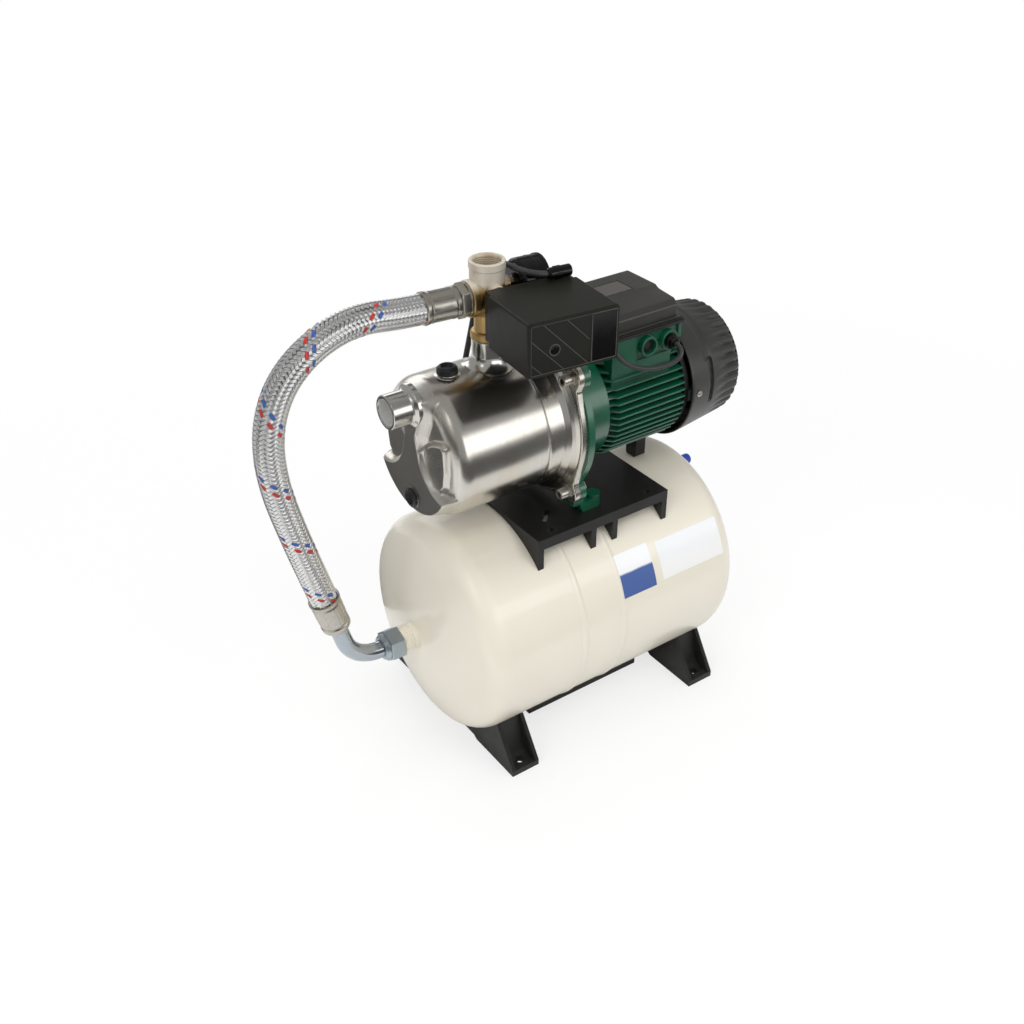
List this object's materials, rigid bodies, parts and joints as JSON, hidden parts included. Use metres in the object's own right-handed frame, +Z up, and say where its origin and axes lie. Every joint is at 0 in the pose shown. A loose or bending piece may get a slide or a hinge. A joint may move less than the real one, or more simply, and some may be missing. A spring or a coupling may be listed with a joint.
{
  "type": "booster pump set",
  "caption": "Domestic water booster set: jet pump and motor on a horizontal pressure vessel, with pressure switch, gauge and braided hose.",
  "frame": {"origin": "centre of the four foot bolt holes, on the floor plane that the feet stand on", "axes": "+Z up; +X along the pump and tank axis, from the suction port towards the motor fan; +Y away from the side with the pressure switch"},
  "size_m": [0.608, 0.4303, 0.607],
  "materials": {
    "cream_paint": "gloss powder coat",
    "black_rubber": "matt",
    "brass": "machined",
    "blue_plastic": "moulded",
    "black_plastic": "satin moulded",
    "zinc_steel": "zinc plated",
    "stainless": "satin pressed",
    "moulded_polymer": "moulded",
    "ceramic": "lapped",
    "green_paint": "semi-gloss",
    "dark_steel": "laminated",
    "copper": "enamelled wire",
    "cast_aluminium": "as cast",
    "white_paint": "matt",
    "clear_window": "clear",
    "steel_braid": "woven wire",
    "lead_sheath": "smooth"
  },
  "bodies": {
    "pump_set": {"air_valve_stem": "brass", "belly_rails": "black_plastic", "casing_bolts": "zinc_steel", "casing_o_ring": "black_rubber", "contact_block": "moulded_polymer", "diffuser": "moulded_polymer", "ejector": "moulded_polymer", "end_shield": "cast_aluminium", "fan_cover": "black_plastic", "fan_cover_screws": "zinc_steel", "five_way_fitting": "brass", "foot_left": "black_plastic", "foot_right": "black_plastic", "gauge_case": "black_plastic", "gauge_dial": "white_paint", "gauge_lens": "clear_window", "gauge_stem": "brass", "hose": "steel_braid", "hose_elbow": "zinc_steel", "hose_ferrule_lower": "zinc_steel", "hose_ferrule_upper": "zinc_steel", "hose_tee_nut": "zinc_steel", "mains_coil": "lead_sheath", "mains_lead": "lead_sheath", "mains_plug": "black_rubber", "motor_bracket": "green_paint", "motor_cable_gland": "black_plastic", "motor_frame": "green_paint", "motor_lead": "lead_sheath", "motor_support": "black_plastic", "pump_casing": "stainless", "pump_foot_screws": "zinc_steel", "run_capacitor": "moulded_polymer", "saddle": "black_plastic", "seal_disc": "stainless", "seal_seat": "ceramic", "shaft_bearings": "zinc_steel", "stator_core": "dark_steel", "stator_windings": "copper", "switch_base": "black_plastic", "switch_cover": "black_plastic", "switch_cover_screw": "black_plastic", "switch_glands": "black_plastic", "tank_bladder": "black_rubber", "tank_shell": "cream_paint", "tank_swivel_nut": "zinc_steel", "terminal_board": "moulded_polymer", "terminal_box_cover": "black_plastic", "terminal_gasket": "black_rubber"},
    "rotor": {"motor_shaft": "stainless", "rotor_core": "dark_steel", "impeller": "moulded_polymer", "seal_head": "black_rubber", "cooling_fan": "black_plastic"},
    "pointer": {"gauge_pointer": "black_plastic"},
    "lever": {"switch_lever": "zinc_steel"},
    "filler": {"filler_plug": "black_plastic"},
    "drain": {"drain_plug": "black_plastic"},
    "valve_cap": {"air_valve_cap": "blue_plastic"}
  },
  "joints": [
    {"name": "rotor_spin", "type": "hinge", "parent": "pump_set", "child": "rotor", "pos_m": [0, 0, 0.407], "axis": [1, 0, 0], "continuous": true},
    {"name": "pointer_sweep", "type": "hinge", "parent": "pump_set", "child": "pointer", "pos_m": [-0.03993, -0.00627, 0.575], "axis": [0.9945, -0.1045, 0], "range_deg": [0, 270], "stiffness_Nm_per_rad": 0.0002},
    {"name": "lever_rock", "type": "hinge", "parent": "pump_set", "child": "lever", "pos_m": [-0.07559, -0.0538, 0.5373], "axis": [0.9945, -0.1045, 0], "range_deg": [0, 4], "stiffness_Nm_per_rad": 0.5},
    {"name": "filler_lift", "type": "slide", "parent": "pump_set", "child": "filler", "axis": [0, 0, 1], "range_m": [0, 0.05]},
    {"name": "drain_pull", "type": "slide", "parent": "pump_set", "child": "drain", "axis": [-1, 0, 0], "range_m": [0, 0.05]},
    {"name": "cap_pull", "type": "slide", "parent": "pump_set", "child": "valve_cap", "axis": [1, 0, 0], "range_m": [0, 0.04]}
  ]
}
